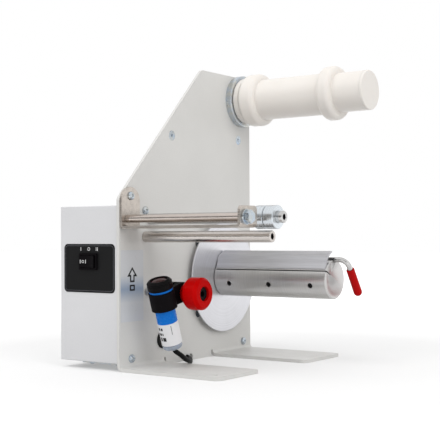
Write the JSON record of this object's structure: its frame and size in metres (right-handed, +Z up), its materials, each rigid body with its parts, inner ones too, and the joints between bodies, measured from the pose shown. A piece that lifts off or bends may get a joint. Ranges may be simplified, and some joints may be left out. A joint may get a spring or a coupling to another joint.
{
  "type": "label dispenser",
  "caption": "Desk label dispenser: bent frame plate with drive box, free turning supply hub, peel bracket, guide bars, driven rewind mandrel with liner rod, and a tilting sensor.",
  "frame": {"origin": "middle of the whole machine's outer box, on the table that the feet stand on", "axes": "+X out of the frame plate along the shafts, +Y from the front with the switch to the back, +Z up"},
  "size_m": [0.22, 0.2204, 0.2827],
  "materials": {
    "plate_paint": "satin",
    "cover_paint": "satin",
    "zinc_sheet": "satin",
    "panel_film": "matte",
    "sign_film": "satin",
    "screw_zinc": "polished",
    "screw_black": "satin",
    "stainless": "brushed",
    "ground_steel": "polished",
    "collar_alu": "polished",
    "turned_alu": "satin",
    "jaw_alu": "satin",
    "hub_plastic": "satin",
    "grip_red": "gloss",
    "knob_red": "gloss",
    "gear_plastic": "satin",
    "brass": "satin",
    "board_green": "satin",
    "black_plastic": "satin",
    "sensor_blue": "gloss",
    "lens_red": "gloss",
    "clear_plastic": "gloss",
    "cable_pvc": "satin",
    "black_rubber": "matte"
  },
  "bodies": {
    "base": {"frame_plate": "plate_paint", "drive_cover": "cover_paint", "service_plate": "zinc_sheet", "control_decal": "panel_film", "direction_plate": "sign_film", "button_screws": "screw_zinc", "small_screws": "screw_zinc", "countersunk_screws": "screw_zinc", "accessory_screws": "screw_zinc", "frame_nuts": "screw_zinc", "blanking_plug": "black_rubber", "peel_bracket": "stainless", "peel_bolt": "screw_zinc", "peel_washer": "screw_zinc", "guide_shaft": "ground_steel", "lower_guide_bar": "ground_steel", "shaft_screws": "screw_zinc", "supply_disc": "zinc_sheet", "supply_axle": "ground_steel", "axle_retainer": "screw_zinc", "bearing_outer_rings": "ground_steel", "bearing_housings": "turned_alu", "motor_bracket": "collar_alu", "standoffs": "collar_alu", "gearbox": "zinc_sheet", "motor_can": "zinc_sheet", "control_board": "board_green", "board_parts": "black_plastic", "power_inlet": "black_plastic", "switch_body": "black_plastic", "sensor_post": "turned_alu", "sensor_stud": "screw_black", "cable_grommet": "black_rubber", "sensor_cable": "cable_pvc"},
    "mandrel": {"rewind_flange": "turned_alu", "rewind_spindle": "ground_steel", "mandrel_body": "turned_alu", "mandrel_jaw": "jaw_alu", "mandrel_set_screws": "screw_black", "drive_gear": "gear_plastic", "spindle_clip": "screw_black", "bearing_inner_rings": "ground_steel"},
    "rod": {"liner_rod": "ground_steel", "rod_grip": "grip_red"},
    "motor": {"motor_shaft": "ground_steel", "motor_pinion": "brass"},
    "hub": {"supply_hub": "hub_plastic", "hub_end_cap": "hub_plastic"},
    "rocker": {"switch_rocker": "black_plastic"},
    "clamp": {"sensor_clamp": "black_plastic"},
    "sensor": {"sensor_barrel": "sensor_blue", "sensor_head": "black_plastic", "sensor_lens": "lens_red", "sensor_end_cap": "clear_plastic"},
    "knob": {"sensor_knob": "knob_red", "knob_insert": "black_plastic"},
    "inner_stop": {"inner_collar": "collar_alu", "inner_collar_screw": "screw_black"},
    "outer_stop": {"outer_collar": "collar_alu", "outer_collar_screw": "screw_black"},
    "roller": {"peel_roller": "stainless"}
  },
  "joints": [
    {"name": "mandrel_spin", "type": "hinge", "parent": "base", "child": "mandrel", "pos_m": [0.027, 0.04528, 0.0778], "axis": [1, 0, 0], "continuous": true},
    {"name": "rod_pull", "type": "slide", "parent": "mandrel", "child": "rod", "axis": [1, 0, 0], "range_m": [0, 0.095]},
    {"name": "motor_spin", "type": "hinge", "parent": "base", "child": "motor", "pos_m": [-0.099, 0.00477, 0.0778], "axis": [1, 0, 0], "continuous": true},
    {"name": "hub_spin", "type": "hinge", "parent": "base", "child": "hub", "pos_m": [0.036, 0.08397, 0.2565], "axis": [1, 0, 0], "continuous": true},
    {"name": "switch_rock", "type": "hinge", "parent": "base", "child": "rocker", "pos_m": [-0.075, -0.10562, 0.0963], "axis": [0, 0, 1], "range_deg": [-12, 12]},
    {"name": "sensor_tilt", "type": "hinge", "parent": "base", "child": "clamp", "pos_m": [-0.004, -0.06872, 0.0683], "axis": [1, 0, 0], "range_deg": [-20, 45], "deforming": ["sensor_cable"]},
    {"name": "sensor_lift", "type": "slide", "parent": "clamp", "child": "sensor", "axis": [0, -0.314, 0.9494], "range_m": [0, 0.012], "deforming": ["sensor_cable"]},
    {"name": "knob_turn", "type": "hinge", "parent": "base", "child": "knob", "pos_m": [0.014, -0.06872, 0.0683], "axis": [1, 0, 0], "range_deg": [0, 270]},
    {"name": "inner_stop_slide", "type": "slide", "parent": "base", "child": "inner_stop", "axis": [1, 0, 0], "range_m": [-0.11, 0]},
    {"name": "outer_stop_slide", "type": "slide", "parent": "base", "child": "outer_stop", "axis": [1, 0, 0], "range_m": [0, 0.006]},
    {"name": "roller_spin", "type": "hinge", "parent": "base", "child": "roller", "pos_m": [0.024, -0.09853, 0.1343], "axis": [1, 0, 0], "continuous": true}
  ],
  "couplings": [
    {"joint": "motor_spin", "follows": "mandrel_spin", "ratio": -2.8571}
  ]
}
